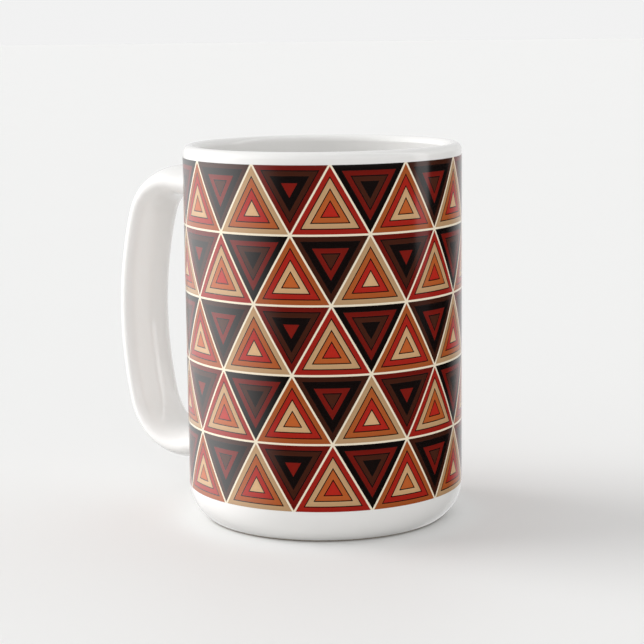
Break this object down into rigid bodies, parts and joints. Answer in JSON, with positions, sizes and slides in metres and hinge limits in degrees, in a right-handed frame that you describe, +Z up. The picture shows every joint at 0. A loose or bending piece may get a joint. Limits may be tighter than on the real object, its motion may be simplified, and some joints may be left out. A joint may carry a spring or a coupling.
{
  "type": "glazed ceramic mug",
  "caption": "Tall straight-sided glazed ceramic drinking mug with a loop handle, rounded base, bare foot ring and a wrap-around printed coat.",
  "frame": {"origin": "on the cup's axis, on the table plane under the foot ring", "axes": "+Z up along the cup's axis; the handle stands out along -X, so the middle of the print faces +X; Y runs across the handle"},
  "size_m": [0.1258, 0.085, 0.115],
  "materials": {
    "fired_clay": "matte bare stoneware, seen only on the foot ring",
    "fired_slip": "matte fired slip, sealed under the glaze",
    "white_glaze": "gloss clear-white glaze",
    "printed_coat": "gloss polyester coat over the glaze with a printed geometric pattern"
  },
  "bodies": {
    "root": {"cup_body": "fired_clay", "handle": "fired_clay", "upper_slip_joint": "fired_slip", "lower_slip_joint": "fired_slip", "cavity_glaze": "white_glaze", "outer_glaze": "white_glaze", "handle_glaze": "white_glaze", "recess_glaze": "white_glaze", "printed_coat": "printed_coat"}
  },
  "joints": []
}
